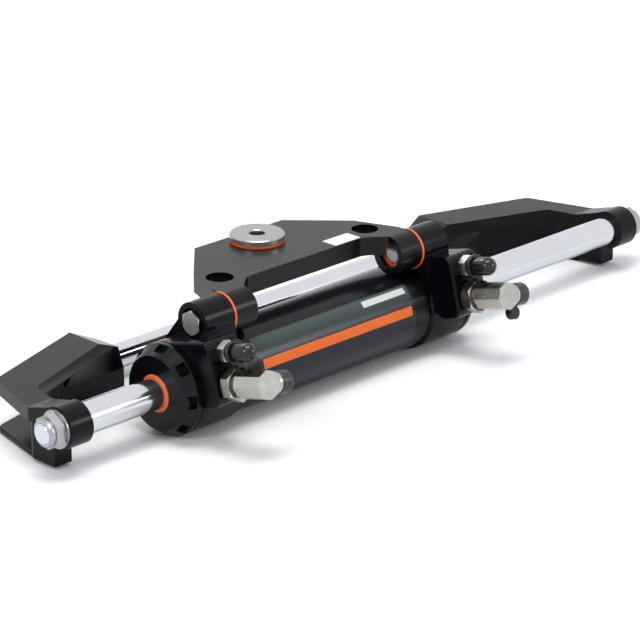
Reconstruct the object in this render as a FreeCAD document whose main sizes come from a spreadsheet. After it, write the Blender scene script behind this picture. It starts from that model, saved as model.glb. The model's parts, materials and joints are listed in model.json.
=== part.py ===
import FreeCAD, Part
import math
import os
import Sketcher

# Hydraulic steering cylinder for an outboard motor, front mounted.
# A fixed piston rod is held at both ends by two cast brackets. The cylinder slides along
# the rod and carries a hinged pivot plate, whose bush takes the motor's tiller bolt.
# The brackets also hold the support rod, which passes through the motor's tilt tube.
# X runs along the rods, Y points back to the motor and Z up. The origin is the middle of
# the support rod. All sizes are in millimetres.

document = FreeCAD.newDocument("steering_cylinder")
sheet = document.addObject("Spreadsheet::Sheet", "sizes")

SIZES = [
    ("rod_radius", 9.525, "piston rod, three quarter inch bar"),
    ("rod_half", 234.6, "middle of the rod to its shoulder"),
    ("rod_forward", 90.0, "piston rod in front of the support rod"),
    ("thread_radius", 6.35, "threaded ends of the piston rod"),
    ("thread_tail", 1.5, "thread showing past the nut"),
    ("edge_break", 0.8, "small chamfer on turned ends"),
    ("boss_radius", 13.0, "bracket boss round the piston rod"),
    ("boss_width", 16.0, "bracket boss along the rod"),
    ("rod_washer_radius", 11.6, "washer under the rod nut"),
    ("rod_washer_thick", 1.8, "washer under the rod nut"),
    ("rod_nut_flats", 19.0, "rod nut across its flats"),
    ("rod_nut_height", 9.0, "rod nut with its locking collar"),
    ("rod_nut_collar", 2.6, "locking collar of the rod nut"),
    ("tube_radius", 7.9375, "support rod, five eighths inch bar"),
    ("sleeve_inner", 134.8, "middle to the inboard end of a sleeve"),
    ("sleeve_length", 42.0, "bracket sleeve along the support rod"),
    ("sleeve_radius", 13.0, "bracket sleeve round the support rod"),
    ("tube_washer_radius", 12.2, "washer under the support rod nut"),
    ("tube_washer_thick", 2.0, "washer under the support rod nut"),
    ("nut_room", 0.5, "room round the washer in the bracket"),
    ("tube_nut_flats", 22.0, "support rod nut across its flats"),
    ("tube_nut_height", 9.0, "support rod nut"),
    ("wing_top", 21.0, "top of the bracket wing above the support rod"),
    ("wing_thick", 8.5, "thickness of the bracket wing"),
    ("wing_corner_out", 1.5, "outer rear corner of the wing outside the rod's shoulder"),
    ("wing_back", 17.0, "outer rear corner in front of the support rod"),
    ("wing_rear", 10.0, "rear edge of the wing behind the support rod"),
    ("wing_crest", 21.0, "inboard end of the sleeve to where the wing bends down"),
    ("bay_notch_in", 7.5, "rear corner of the bay inside the rod's shoulder"),
    ("bay_notch_back", 46.5, "rear corner of the bay behind the piston rod"),
    ("bay_corner_in", 3.0, "front corner of the bay inside the rod's shoulder"),
    ("bay_corner_back", 28.0, "front corner of the bay behind the piston rod"),
    ("arm_back", 26.0, "outer corner of the arm behind the piston rod"),
    ("wing_tip", 9.6, "front edge of the wing at the sleeve"),
    ("flank_front", 15.5, "front wall of the casting at the sleeve"),
    ("flank_rise", 12.0, "height of the front wall at the sleeve"),
    ("web_thick", 5.0, "slanting web between wing and foot"),
    ("web_inset", 12.0, "web inside the outer edge of the wing"),
    ("foot_thick", 4.5, "lower flange of the bracket"),
    ("cast_radius", 6.0, "rounded corners of the castings"),
    ("soft_edge", 1.6, "rounded rims of the castings"),
    ("barrel_shift", -49.5, "middle of the cylinder from the middle of the rod"),
    ("bore_radius", 20.6, "inside of the barrel"),
    ("barrel_wall", 5.9, "wall of the barrel"),
    ("barrel_half", 109.0, "half the length of the barrel"),
    ("piston_half", 9.0, "half the width of the piston"),
    ("groove_width", 3.0, "seal grooves of the piston"),
    ("groove_depth", 3.4, "seal grooves of the piston"),
    ("groove_place", 3.0, "piston middle to a seal groove"),
    ("clip_thick", 1.5, "retaining clips of the piston"),
    ("clip_depth", 1.0, "clip groove in the rod"),
    ("clip_rise", 2.6, "clip standing above the rod"),
    ("head_lap", 6.5, "head reaching past the end of the barrel"),
    ("head_width", 34.5, "head along the rod"),
    ("head_wall", 2.0, "wall of a head round the barrel"),
    ("ear_width", 22.4, "ear along the rod"),
    ("pivot_forward", 8.0, "pivot axis in front of the piston rod"),
    ("pivot_above", 11.5, "pivot axis above the heads"),
    ("ear_radius", 12.5, "rounded ear and plate bosses"),
    ("neck_angle", 30.0, "where the ear meets the drum at the rear, degrees"),
    ("neck_waist", 0.6, "neck inside the outlines of ear and drum"),
    ("port_inset", 12.5, "ports inside the outer face of a head"),
    ("port_tilt", 15.0, "upward tilt of the ports, degrees"),
    ("port_reach", 12.0, "port face in front of the drum of a head"),
    ("port_drop", 12.0, "port block below the hose port"),
    ("port_rise", 28.0, "port block above the hose port"),
    ("port_width", 25.0, "port block along the rod"),
    ("bleed_rise", 19.0, "bleed port above the hose port"),
    ("oilway_radius", 2.2, "drilled oil passages"),
    ("gland_reach", 11.0, "gland standing out of a head"),
    ("gland_taper", 5.5, "cone of a gland"),
    ("gland_flange", 2.8, "straight rim of a gland"),
    ("gland_slots", 8, "spanner slots round a gland"),
    ("slot_width", 8.0, "spanner slot"),
    ("slot_depth", 4.0, "spanner slot"),
    ("slot_length", 7.0, "spanner slot along the rod"),
    ("guide_radius", 12.0, "outside of the rod guide"),
    ("guide_length", 6.0, "rod guide"),
    ("seal_radius", 14.0, "outside of the rod seal"),
    ("seal_length", 6.0, "rod seal"),
    ("wiper_radius", 11.6, "outside of the rod wiper"),
    ("wiper_proud", 0.6, "wiper standing out of the gland"),
    ("hose_thread", 6.0, "neck of the hose fitting"),
    ("hose_seat", 1.5, "sealing ring under the lock nut"),
    ("hose_ring_radius", 8.8, "sealing ring under the lock nut"),
    ("lock_flats", 19.0, "lock nut of the hose fitting"),
    ("lock_height", 7.0, "lock nut of the hose fitting"),
    ("hose_gap", 2.4, "neck between lock nut and hose fitting"),
    ("hose_flats", 16.4, "hose fitting across its flats"),
    ("hose_length", 22.0, "body of the hose fitting"),
    ("outlet_back", 8.2, "outlet inside the end of the hose fitting"),
    ("outlet_turn", 10.0, "downward turn of the outlet, degrees"),
    ("outlet_radius", 6.6, "collar of the outlet"),
    ("outlet_length", 12.5, "outlet from the middle of the fitting"),
    ("plug_radius", 7.2, "dust plug of the hose fitting"),
    ("plug_length", 9.0, "dust plug of the hose fitting"),
    ("plug_stem", 4.5, "stem of the dust plug"),
    ("bleed_thread", 4.0, "thread of the bleed screw"),
    ("bleed_flats", 13.0, "bleed screw across its flats"),
    ("bleed_height", 6.0, "hexagon of the bleed screw"),
    ("nipple_radius", 3.0, "nipple of the bleed screw"),
    ("nipple_length", 11.0, "nipple of the bleed screw"),
    ("cap_radius", 6.0, "rubber cap on the nipple"),
    ("cap_length", 19.0, "rubber cap on the nipple"),
    ("bolt_radius", 6.0, "pivot bolt"),
    ("bolt_flats", 14.0, "pivot bolt head across its flats"),
    ("bolt_head", 5.5, "pivot bolt head"),
    ("bolt_recess", 4.0, "recess for the bolt head in the ear"),
    ("recess_radius", 9.2, "recess for the bolt head in the ear"),
    ("bush_wall", 2.0, "pivot bush"),
    ("bush_recess", 3.5, "pivot bush and bolt behind the inner face of the boss"),
    ("thrust_thick", 1.4, "thrust washer of the pivot"),
    ("thrust_radius", 13.0, "thrust washer of the pivot"),
    ("plate_boss_width", 17.5, "plate boss along the pivot"),
    ("plate_room", 0.1, "play between thrust washer and ear"),
    ("plate_thick", 12.0, "pivot plate"),
    ("plate_front", 2.0, "front edge of the plate behind the piston rod"),
    ("plate_side_in", 11.0, "side corner of the plate inside its bosses"),
    ("plate_side_back", 28.5, "side corner of the plate behind the piston rod"),
    ("plate_rear", 61.0, "rear edge of the plate behind the piston rod"),
    ("plate_rear_in", 42.0, "rear corner of the plate inside its bosses"),
    ("plate_corner", 3.0, "rounded corners of the plate"),
    ("plate_scoop", 12.0, "rounded corners of the front opening"),
    ("plate_hole", 5.4, "bolt holes of the plate"),
    ("plate_hole_in", 17.5, "bolt hole inside the end of the plate's bosses"),
    ("plate_hole_back", 12.5, "bolt hole behind the piston rod"),
    ("pocket_radius", 8.5, "pocket round a bolt hole"),
    ("pocket_depth", 4.0, "pocket round a bolt hole"),
    ("tiller_back", 44.7, "tiller bush behind the piston rod"),
    ("tiller_shank", 9.0, "shank of the tiller bush"),
    ("tiller_bore", 5.0, "bolt hole of the tiller bush"),
    ("tiller_disc", 17.2, "disc of the tiller bush"),
    ("disc_thick", 3.4, "disc of the tiller bush"),
    ("bearing_wall", 2.0, "plastic bearing of the tiller bush"),
    ("bearing_flange", 1.6, "flange of the plastic bearing"),
    ("running_gap", 0.05, "radial clearance of every sliding or turning fit"),
    ("side_gap", 0.1, "endways clearance beside turning faces"),
    ("seat_gap", 0.02, "clearance of pieces fixed in each other"),
]


class Size:
    """A length that knows its number and the sheet expression that gives it."""

    def __init__(self, value, text):
        self.value = value
        self.text = text

    def __add__(self, other):
        other = size(other)
        return Size(self.value + other.value, f"({self.text} + {other.text})")

    def __sub__(self, other):
        other = size(other)
        return Size(self.value - other.value, f"({self.text} - {other.text})")

    def __mul__(self, other):
        other = size(other)
        return Size(self.value * other.value, f"({self.text} * {other.text})")

    def __truediv__(self, other):
        other = size(other)
        return Size(self.value / other.value, f"({self.text} / {other.text})")

    def __neg__(self):
        return Size(-self.value, f"(0 - {self.text})")

    __radd__ = __add__
    __rmul__ = __mul__


def size(number):
    return number if isinstance(number, Size) else Size(float(number), repr(float(number)))


def cosine(angle):
    return Size(math.cos(math.radians(angle.value)), f"cos({angle.text})")


def sine(angle):
    return Size(math.sin(math.radians(angle.value)), f"sin({angle.text})")


class Sheet:
    """The sizes of the sheet, each by its own name."""


S = Sheet()
for row, (alias, number, meaning) in enumerate(SIZES, start=1):
    sheet.set(f"A{row}", meaning)
    sheet.set(f"B{row}", str(number))
    sheet.setAlias(f"B{row}", alias)
    setattr(S, alias, Size(float(number), f"sizes.{alias}"))
document.recompute()

ZERO = size(0)
# How far a tool runs past a face that it cuts, and a joined piece runs into its neighbour.
PAST = size(1)
ALONG_X = FreeCAD.Rotation(FreeCAD.Vector(0, 1, 0), 90)
FORWARD = FreeCAD.Rotation(FreeCAD.Vector(0, 0, 1), -90)
PIECES = []

# Axes and levels that several pieces share. The heads, the sleeves and the feet of the
# brackets all stand on one level.
rod_y = -S.rod_forward
barrel_radius = S.bore_radius + S.barrel_wall
head_radius = barrel_radius + S.head_wall
head_outer = S.barrel_half + S.head_lap
head_inner = head_outer - S.head_width
ear_outer = head_inner + S.ear_width
pivot_rise = head_radius + S.pivot_above
port_place = head_outer - S.port_inset
port_face = head_radius / cosine(S.port_tilt) + S.port_reach
gland_face = head_outer + S.gland_reach
plate_boss = head_inner - S.thrust_thick - S.plate_room
plate_mouth = plate_boss - S.plate_boss_width
rod_z = head_radius - S.sleeve_radius
floor = -S.sleeve_radius
boss_outer = S.rod_half + S.boss_width
sleeve_outer = S.sleeve_inner + S.sleeve_length
plate_top = pivot_rise + S.ear_radius
plate_bottom = plate_top - S.plate_thick


def bind(piece, name, value):
    piece.setExpression(name, size(value).text)


def place(piece, x=0, y=0, z=0, rotation=None):
    if rotation is not None:
        piece.Placement = FreeCAD.Placement(FreeCAD.Vector(), rotation)
    bind(piece, "Placement.Base.x", x)
    bind(piece, "Placement.Base.y", y)
    bind(piece, "Placement.Base.z", z)
    return piece


def place_on_cylinder(piece):
    return place(piece, S.barrel_shift, rod_y, rod_z)


def tilt(piece):
    """Turns a piece up by the tilt of the ports, about the piston rod's axis."""
    piece.Placement = FreeCAD.Placement(FreeCAD.Vector(), FreeCAD.Rotation(FreeCAD.Vector(-1, 0, 0), 1))
    bind(piece, "Placement.Rotation.Angle", S.port_tilt)
    return piece


def place_on_ports(piece):
    return place_on_cylinder(tilt(piece))


def keep(piece, name):
    piece.Label = name
    PIECES.append(piece)
    return piece


def rounded_corner(before, corner, after, radius):
    """The two ends and the centre of the arc that rounds a corner, as numbers."""
    to_before = (before - corner).normalize()
    to_after = (after - corner).normalize()
    half = to_before.getAngle(to_after) / 2
    start = corner + to_before * (radius / math.tan(half))
    end = corner + to_after * (radius / math.tan(half))
    centre = corner + (to_before + to_after).normalize() * (radius / math.sin(half))
    return start, end, centre


def arc_between(start, end, centre, radius):
    """The shorter arc from start to end, always drawn anticlockwise, and whether it was swapped."""
    swapped = (start - centre).cross(end - centre).z < 0
    if swapped:
        start, end = end, start
    circle = Part.Circle(centre, FreeCAD.Vector(0, 0, 1), radius)
    angles = [math.atan2((point - centre).y, (point - centre).x) for point in (start, end)]
    return Part.ArcOfCircle(circle, *angles), swapped


def outline(sketch, corners):
    """Draws a closed outline of straight edges. A corner is x, y and, if it is rounded, a radius."""
    points = [FreeCAD.Vector(size(c[0]).value, size(c[1]).value, 0) for c in corners]
    count = len(corners)
    starts, ends, rounds = list(points), list(points), {}
    for i, corner in enumerate(corners):
        if len(corner) == 3:
            rounds[i] = rounded_corner(
                points[i - 1], points[i], points[(i + 1) % count], corner[2].value
            )
            ends[i], starts[i] = rounds[i][:2]
    lines = [
        sketch.addGeometry(Part.LineSegment(starts[i], ends[(i + 1) % count]), False)
        for i in range(count)
    ]
    for i, corner in enumerate(corners):
        before, after = lines[i - 1], lines[i]
        if i in rounds:
            curve, swapped = arc_between(*rounds[i], corner[2].value)
            arc = sketch.addGeometry(curve, False)
            first, last = (2, 1) if swapped else (1, 2)
            sketch.addConstraint(Sketcher.Constraint("Tangent", before, 2, arc, first))
            sketch.addConstraint(Sketcher.Constraint("Tangent", arc, last, after, 1))
            spot = sketch.addGeometry(Part.Point(points[i]), True)
            sketch.addConstraint(Sketcher.Constraint("PointOnObject", spot, 1, before))
            sketch.addConstraint(Sketcher.Constraint("PointOnObject", spot, 1, after))
            datum = sketch.addConstraint(Sketcher.Constraint("Radius", arc, corner[2].value))
            bind(sketch, f"Constraints[{datum}]", corner[2])
        else:
            spot = after
            sketch.addConstraint(Sketcher.Constraint("Coincident", before, 2, after, 1))
        for kind, value in (("DistanceX", corner[0]), ("DistanceY", corner[1])):
            number = getattr(points[i], kind[-1].lower())
            datum = sketch.addConstraint(Sketcher.Constraint(kind, spot, 1, number))
            bind(sketch, f"Constraints[{datum}]", value)


def sketch_on(body, plane, corners, start=ZERO):
    sketch = body.newObject("Sketcher::SketchObject", "outline")
    origin = next(o for o in body.Origin.OriginFeatures if o.Role == plane)
    sketch.AttachmentSupport = [(origin, "")]
    sketch.MapMode = "FlatFace"
    bind(sketch, "AttachmentOffset.Base.z", start)
    outline(sketch, corners)
    return sketch


def turned(name, profile):
    """A piece turned about the X axis, from pairs of length and radius."""
    body = document.addObject("PartDesign::Body", name)
    sketch = sketch_on(body, "XY_Plane", profile)
    revolution = body.newObject("PartDesign::Revolution", "turning")
    revolution.Profile = sketch
    revolution.ReferenceAxis = (sketch, ["H_Axis"])
    revolution.Angle = 360
    return body


def prism(name, plane, corners, start, length, rim=None):
    """An outline on a plane, raised by a length. The rim rounds the edges of both ends."""
    body = document.addObject("PartDesign::Body", name)
    sketch = sketch_on(body, plane, corners, start)
    pad = body.newObject("PartDesign::Pad", "raised")
    pad.Profile = sketch
    bind(pad, "Length", length)
    if rim is not None:
        document.recompute()
        direction = sketch.Placement.Rotation.multVec(FreeCAD.Vector(0, 0, 1))
        flat = [
            f"Face{i}" for i, face in enumerate(pad.Shape.Faces, start=1)
            if abs(abs(face.normalAt(0, 0).dot(direction)) - 1) < 1e-6
        ]
        fillet = body.newObject("PartDesign::Fillet", "rim")
        fillet.Base = (pad, flat)
        bind(fillet, "Radius", rim)
        body.Tip = fillet
    return body


def rod_of(name, radius, start, length, y=ZERO, z=ZERO):
    """A plain cylinder along X."""
    cylinder = document.addObject("Part::Cylinder", name)
    bind(cylinder, "Radius", radius)
    bind(cylinder, "Height", length)
    return place(cylinder, start, y, z, ALONG_X)


def upright(name, radius, start, length, x, y):
    """A plain cylinder along Z."""
    cylinder = document.addObject("Part::Cylinder", name)
    bind(cylinder, "Radius", radius)
    bind(cylinder, "Height", length)
    return place(cylinder, x, y, start)


def forward_drill(name, radius, start, length, x, rise=ZERO):
    """A plain cylinder along the direction of the ports, before their tilt."""
    cylinder = document.addObject("Part::Cylinder", name)
    bind(cylinder, "Radius", radius)
    bind(cylinder, "Height", length)
    to_front = FreeCAD.Rotation(FreeCAD.Vector(1, 0, 0), 90)
    return place(cylinder, x, -start, rise, to_front)


def combine(kind, name, pieces):
    result = document.addObject(kind, name)
    if kind == "Part::Compound":
        result.Links = pieces
    else:
        result.Shapes = pieces
    return result


def fuse(name, *pieces):
    return combine("Part::MultiFuse", name, list(pieces))


def group(name, *pieces):
    return combine("Part::Compound", name, list(pieces))


def cut(name, base, *tools):
    """Takes each tool out of the base, one after the other."""
    for tool in tools:
        result = document.addObject("Part::Cut", name + "_cut")
        result.Base = base
        result.Tool = tool
        base = result
    return base


def mirrored(name, source):
    """The same piece on the other side of the plane X = 0."""
    mirror = document.addObject("Part::Mirroring", name)
    mirror.Source = source
    mirror.Normal = FreeCAD.Vector(1, 0, 0)
    return mirror


def both_sides(name, piece):
    return group(name, piece, mirrored(name + "_mirrored", piece))


def hexagon(name, flats, start, length, bore=None, sides=6):
    """A bar of flat sides along X with turned corners at both ends, and a hole if one is given."""
    bar = document.addObject("Part::Prism", name + "_bar")
    bar.Polygon = sides
    to_corner = math.cos(math.pi / sides)
    bind(bar, "Circumradius", flats / 2 / to_corner)
    bind(bar, "Height", length)
    place(bar, start, 0, 0, ALONG_X)
    corner = flats / 2 / to_corner
    rise = corner - flats / 2
    end = start + length
    ends = turned(name + "_ends", [
        (start, ZERO), (start, flats / 2), (start + rise / 2, corner), (end - rise / 2, corner),
        (end, flats / 2), (end, ZERO),
    ])
    shaped = document.addObject("Part::MultiCommon", name + "_shaped")
    shaped.Shapes = [bar, ends]
    if bore is None:
        return shaped
    return cut(name + "_bored", shaped, rod_of(name + "_bore", bore, start - PAST, length + PAST * 2))


# Piston rod: one polished bar with a shouldered thread at each end and two clip grooves
# that hold the piston in its middle.
def piston_rod():
    thread = S.rod_half + S.boss_width + S.rod_washer_thick + S.rod_nut_height + S.thread_tail
    clip_inner = S.piston_half + S.seat_gap
    clip_outer = clip_inner + S.clip_thick
    groove = S.rod_radius - S.clip_depth
    half = [
        (thread, ZERO), (thread, S.thread_radius - S.edge_break),
        (thread - S.edge_break, S.thread_radius), (S.rod_half, S.thread_radius),
        (S.rod_half, S.rod_radius), (clip_outer, S.rod_radius), (clip_outer, groove),
        (clip_inner, groove), (clip_inner, S.rod_radius),
    ]
    other = [(-x, radius) for x, radius in reversed(half)]
    return place(turned("piston_rod", half + other), 0, rod_y, rod_z)


# Piston: a disc fixed on the rod, with two grooves for its seals.
def piston():
    face = S.bore_radius - S.running_gap
    floor_of_groove = face - S.groove_depth
    groove_end = S.groove_place + S.groove_width
    half = [
        (S.piston_half, face), (groove_end, face), (groove_end, floor_of_groove),
        (S.groove_place, floor_of_groove), (S.groove_place, face),
    ]
    inner = S.rod_radius + S.seat_gap
    profile = [(S.piston_half, inner)] + half
    profile += [(-x, radius) for x, radius in reversed(half)] + [(-S.piston_half, inner)]
    return place(turned("piston", profile), 0, rod_y, rod_z)


def ring(name, inner, outer, start, length):
    end = start + length
    return turned(name, [(start, inner), (start, outer), (end, outer), (end, inner)])


def piston_seals():
    outer = S.bore_radius - S.running_gap
    inner = outer - S.groove_depth + S.seat_gap
    start = S.groove_place + S.seat_gap
    seal = ring("piston_seal", inner, outer, start, S.groove_width - 2 * S.seat_gap)
    return place(both_sides("piston_seals", seal), 0, rod_y, rod_z)


def piston_clips():
    inner = S.rod_radius - S.clip_depth + S.seat_gap
    start = S.piston_half + 2 * S.seat_gap
    clip = ring("piston_clip", inner, S.rod_radius + S.clip_rise, start, S.clip_thick - 2 * S.seat_gap)
    return place(both_sides("piston_clips", clip), 0, rod_y, rod_z)


def rod_washers():
    washer = ring(
        "rod_washer", S.thread_radius + S.seat_gap, S.rod_washer_radius, boss_outer,
        S.rod_washer_thick,
    )
    return place(both_sides("rod_washers", washer), 0, rod_y, rod_z)


# Rod nut: a hexagon with a round locking collar on its outer end.
def rod_nuts():
    start = boss_outer + S.rod_washer_thick
    collar_start = start + S.rod_nut_height - S.rod_nut_collar
    hole = S.thread_radius + S.seat_gap
    flats = hexagon("rod_nut_flats", S.rod_nut_flats, start, S.rod_nut_height - S.rod_nut_collar, hole)
    outer = S.rod_nut_flats / 2 - S.edge_break
    end = start + S.rod_nut_height
    collar = turned("rod_nut_collar", [
        (collar_start, hole), (collar_start, outer), (end - S.edge_break, outer),
        (end, outer - S.edge_break), (end, hole),
    ])
    return place(both_sides("rod_nuts", fuse("rod_nut", flats, collar)), 0, rod_y, rod_z)


# Support rod: a plain polished bar through both sleeves, nutted outside them.
def support_rod():
    end = sleeve_outer + S.tube_washer_thick + S.tube_nut_height + S.thread_tail
    half = [
        (end, ZERO), (end, S.tube_radius - S.edge_break), (end - S.edge_break, S.tube_radius),
    ]
    return turned("support_rod", half + [(-x, radius) for x, radius in reversed(half)])


def support_washers():
    washer = ring(
        "support_washer", S.tube_radius + S.seat_gap, S.tube_washer_radius, sleeve_outer,
        S.tube_washer_thick,
    )
    return both_sides("support_washers", washer)


def support_nuts():
    start = sleeve_outer + S.tube_washer_thick
    nut = hexagon("support_nut", S.tube_nut_flats, start, S.tube_nut_height, S.tube_radius + S.seat_gap)
    return both_sides("support_nuts", nut)


# Bracket: one casting. A boss takes the end of the piston rod and a sleeve takes the
# support rod. A broad wing joins them above, a slanting web and a lower flange stiffen it,
# and the space between wing and flange is open outwards for the support rod's nut.
def bracket():
    inner = S.rod_half
    outer = boss_outer
    arm_root = rod_y + S.boss_radius / 2
    arm_corner = rod_y + S.arm_back
    wing_bottom = S.wing_top - S.wing_thick
    boss_top = rod_z + S.boss_radius - S.soft_edge
    bay_corner = (inner - S.bay_corner_in, rod_y + S.bay_corner_back, S.cast_radius)
    bay_notch = (inner - S.bay_notch_in, rod_y + S.bay_notch_back, S.cast_radius)
    boss = rod_of("rod_boss", S.boss_radius, inner, S.boss_width, rod_y, rod_z)
    sleeve = rod_of("sleeve", S.sleeve_radius, S.sleeve_inner, S.sleeve_length)
    plan = prism("wing_plan", "XY_Plane", [
        (inner, arm_root), (outer, arm_root), (outer, arm_corner, S.cast_radius),
        (inner + S.wing_corner_out, -S.wing_back, S.cast_radius),
        (S.sleeve_inner + S.wing_crest, S.wing_rear, S.cast_radius),
        (S.sleeve_inner, S.sleeve_radius / 2), (S.sleeve_inner, -S.wing_tip), bay_notch, bay_corner,
    ], floor, rod_z + S.boss_radius - floor)
    side = prism("wing_side", "YZ_Plane", [
        (arm_root - PAST, boss_top), (arm_corner, S.wing_top, S.ear_radius),
        (S.wing_rear + S.web_inset, S.wing_top), (S.wing_rear + S.web_inset, wing_bottom),
        (arm_corner, wing_bottom), (arm_root - PAST, rod_z),
    ], S.sleeve_inner - S.web_inset, outer - S.sleeve_inner + S.web_inset * 2)
    wing = document.addObject("Part::MultiCommon", "wing")
    wing.Shapes = [plan, side]
    # The top of the wing bends down to the sleeve at the inboard end.
    drop = prism("wing_drop", "XZ_Plane", [
        (S.sleeve_inner + S.wing_crest, S.wing_top),
        (S.sleeve_inner + S.wing_crest, S.wing_top + S.wing_thick),
        (S.sleeve_inner - S.web_inset, S.wing_top + S.wing_thick),
        (S.sleeve_inner - S.web_inset, S.sleeve_radius - S.soft_edge),
        (S.sleeve_inner, S.sleeve_radius - S.soft_edge),
    ], -S.rod_forward, S.rod_forward * 2)
    # The flank is upright at the sleeve and leans out to the wing's front edge outboard.
    flank_end = sleeve_outer + S.web_thick
    flank_top = wing_bottom + S.soft_edge
    lean = (S.rod_forward - S.bay_notch_back - S.wing_tip) * S.sleeve_length / (
        inner - S.bay_notch_in - S.sleeve_inner
    )
    flank_sections = []
    for x, front in ((S.sleeve_inner, S.wing_tip), (flank_end, S.wing_tip + lean)):
        section = document.addObject("Sketcher::SketchObject", "flank_section")
        outline(section, [
            (-S.sleeve_radius / 2, floor), (-S.flank_front, floor), (-S.flank_front, floor + S.flank_rise),
            (-front, flank_top), (-S.sleeve_radius / 2, flank_top),
        ])
        facing_out = FreeCAD.Rotation(FreeCAD.Vector(1, 1, 1), 120)
        flank_sections.append(place(section, x, 0, 0, facing_out))
    flank = document.addObject("Part::Loft", "flank")
    flank.Sections = flank_sections
    flank.Solid = True
    flank.Ruled = True
    # The web slants from the arm back to the flank.
    web_outer = (outer - S.web_inset, arm_corner + S.web_inset, S.cast_radius)
    web = prism("web", "XY_Plane", [
        (inner + S.soft_edge, arm_root - PAST), (outer - S.soft_edge, arm_root - PAST),
        (outer - S.soft_edge, arm_corner, S.cast_radius), web_outer,
        (flank_end + S.web_thick * 2, -S.flank_front + S.web_thick),
        (flank_end - PAST, -S.flank_front + S.web_thick),
        (flank_end - PAST, -S.flank_front + S.seat_gap),
        (flank_end + S.web_thick, -S.flank_front + S.seat_gap),
        (inner - S.bay_notch_in, rod_y + S.bay_notch_back - S.soft_edge, S.cast_radius),
        (inner - S.bay_corner_in + S.soft_edge, rod_y + S.bay_corner_back - S.soft_edge, S.cast_radius),
    ], floor + S.foot_thick / 2, wing_bottom - floor)
    foot = prism("foot", "XY_Plane", [
        (outer - S.soft_edge * 2, arm_corner - S.soft_edge, S.cast_radius),
        (inner + S.wing_corner_out, -S.wing_back, S.cast_radius),
        (flank_end + S.web_inset, -S.sleeve_radius / 2, S.cast_radius),
        (S.sleeve_inner + S.wing_crest, -S.sleeve_radius / 2),
        (S.sleeve_inner + S.wing_crest, -S.flank_front + S.soft_edge),
        (flank_end + S.web_thick, -S.flank_front + S.soft_edge),
        (inner - S.bay_notch_in, rod_y + S.bay_notch_back, S.cast_radius),
        (inner, arm_corner - S.soft_edge),
    ], floor, S.foot_thick, S.soft_edge)
    casting = fuse("bracket_casting", boss, sleeve, wing, flank, web, foot)
    nut_room = rod_of("nut_room", S.tube_washer_radius + S.nut_room, sleeve_outer, S.sleeve_length)
    rod_hole = rod_of(
        "rod_hole", S.thread_radius + S.seat_gap, inner - PAST, S.boss_width + PAST * 2, rod_y, rod_z
    )
    tube_hole = rod_of(
        "tube_hole", S.tube_radius + S.seat_gap, S.sleeve_inner - PAST, S.sleeve_length + 2
    )
    return cut("right_bracket", casting, drop, rod_hole, tube_hole, nut_room)


# Barrel: a thick tube, drilled for oil near both ends.
def barrel():
    half = [(S.barrel_half, S.bore_radius), (S.barrel_half, barrel_radius)]
    tube = turned("tube", half + [(-x, radius) for x, radius in reversed(half)])
    drill = both_sides("barrel_oilway", forward_drill(
        "oilway", S.oilway_radius, S.bore_radius - PAST, barrel_radius, port_place
    ))
    tilt(drill)
    return place_on_cylinder(cut("barrel", tube, drill))


# Head: a casting round each end of the barrel. It carries the ear for the pivot bolt and,
# in front, a block with the hose port and the bleed port.
def head():
    drum = turned("drum", [
        (head_inner, ZERO), (head_inner, head_radius - S.soft_edge),
        (head_inner + S.soft_edge, head_radius), (head_outer - S.soft_edge, head_radius),
        (head_outer, head_radius - S.soft_edge), (head_outer, ZERO),
    ])
    ear = rod_of("ear", S.ear_radius, head_inner, S.ear_width, -S.pivot_forward, pivot_rise)
    ear_side = S.ear_radius - S.neck_waist
    drum_side = head_radius - S.neck_waist
    neck = prism("neck", "YZ_Plane", [
        (-S.pivot_forward - ear_side, pivot_rise), (-drum_side, ZERO), (ZERO, ZERO),
        (drum_side * cosine(S.neck_angle), drum_side * sine(S.neck_angle)),
        (ear_side - S.pivot_forward, pivot_rise),
    ], head_inner, S.ear_width)
    block = prism("port_block", "YZ_Plane", [
        (ZERO, -S.port_drop), (ZERO, S.port_rise), (-port_face, S.port_rise, S.cast_radius),
        (-port_face, -S.port_drop, S.cast_radius),
    ], head_outer - S.port_width, S.port_width, S.soft_edge)
    tilt(block)
    casting = fuse("head_casting", drum, ear, neck, block)
    bore = rod_of("head_bore", barrel_radius + S.seat_gap, head_inner - PAST, S.head_width + PAST * 2)
    bolt_hole = rod_of(
        "bolt_hole", S.bolt_radius + S.seat_gap, head_inner - PAST, S.ear_width + PAST * 2,
        -S.pivot_forward, pivot_rise,
    )
    recess = rod_of(
        "bolt_recess", S.recess_radius, ear_outer - S.bolt_recess, S.bolt_recess + PAST,
        -S.pivot_forward, pivot_rise,
    )
    reach = port_face - barrel_radius
    hose_hole = forward_drill(
        "hose_hole", S.hose_thread + S.seat_gap, barrel_radius, reach + PAST, port_place
    )
    bleed_hole = forward_drill(
        "bleed_hole", S.bleed_thread + S.seat_gap, port_face - S.bleed_height * 2,
        S.bleed_height * 3, port_place, S.bleed_rise,
    )
    ports = group("head_ports", hose_hole, bleed_hole)
    tilt(ports)
    return cut("head", casting, bore, bolt_hole, recess, ports)


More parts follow.
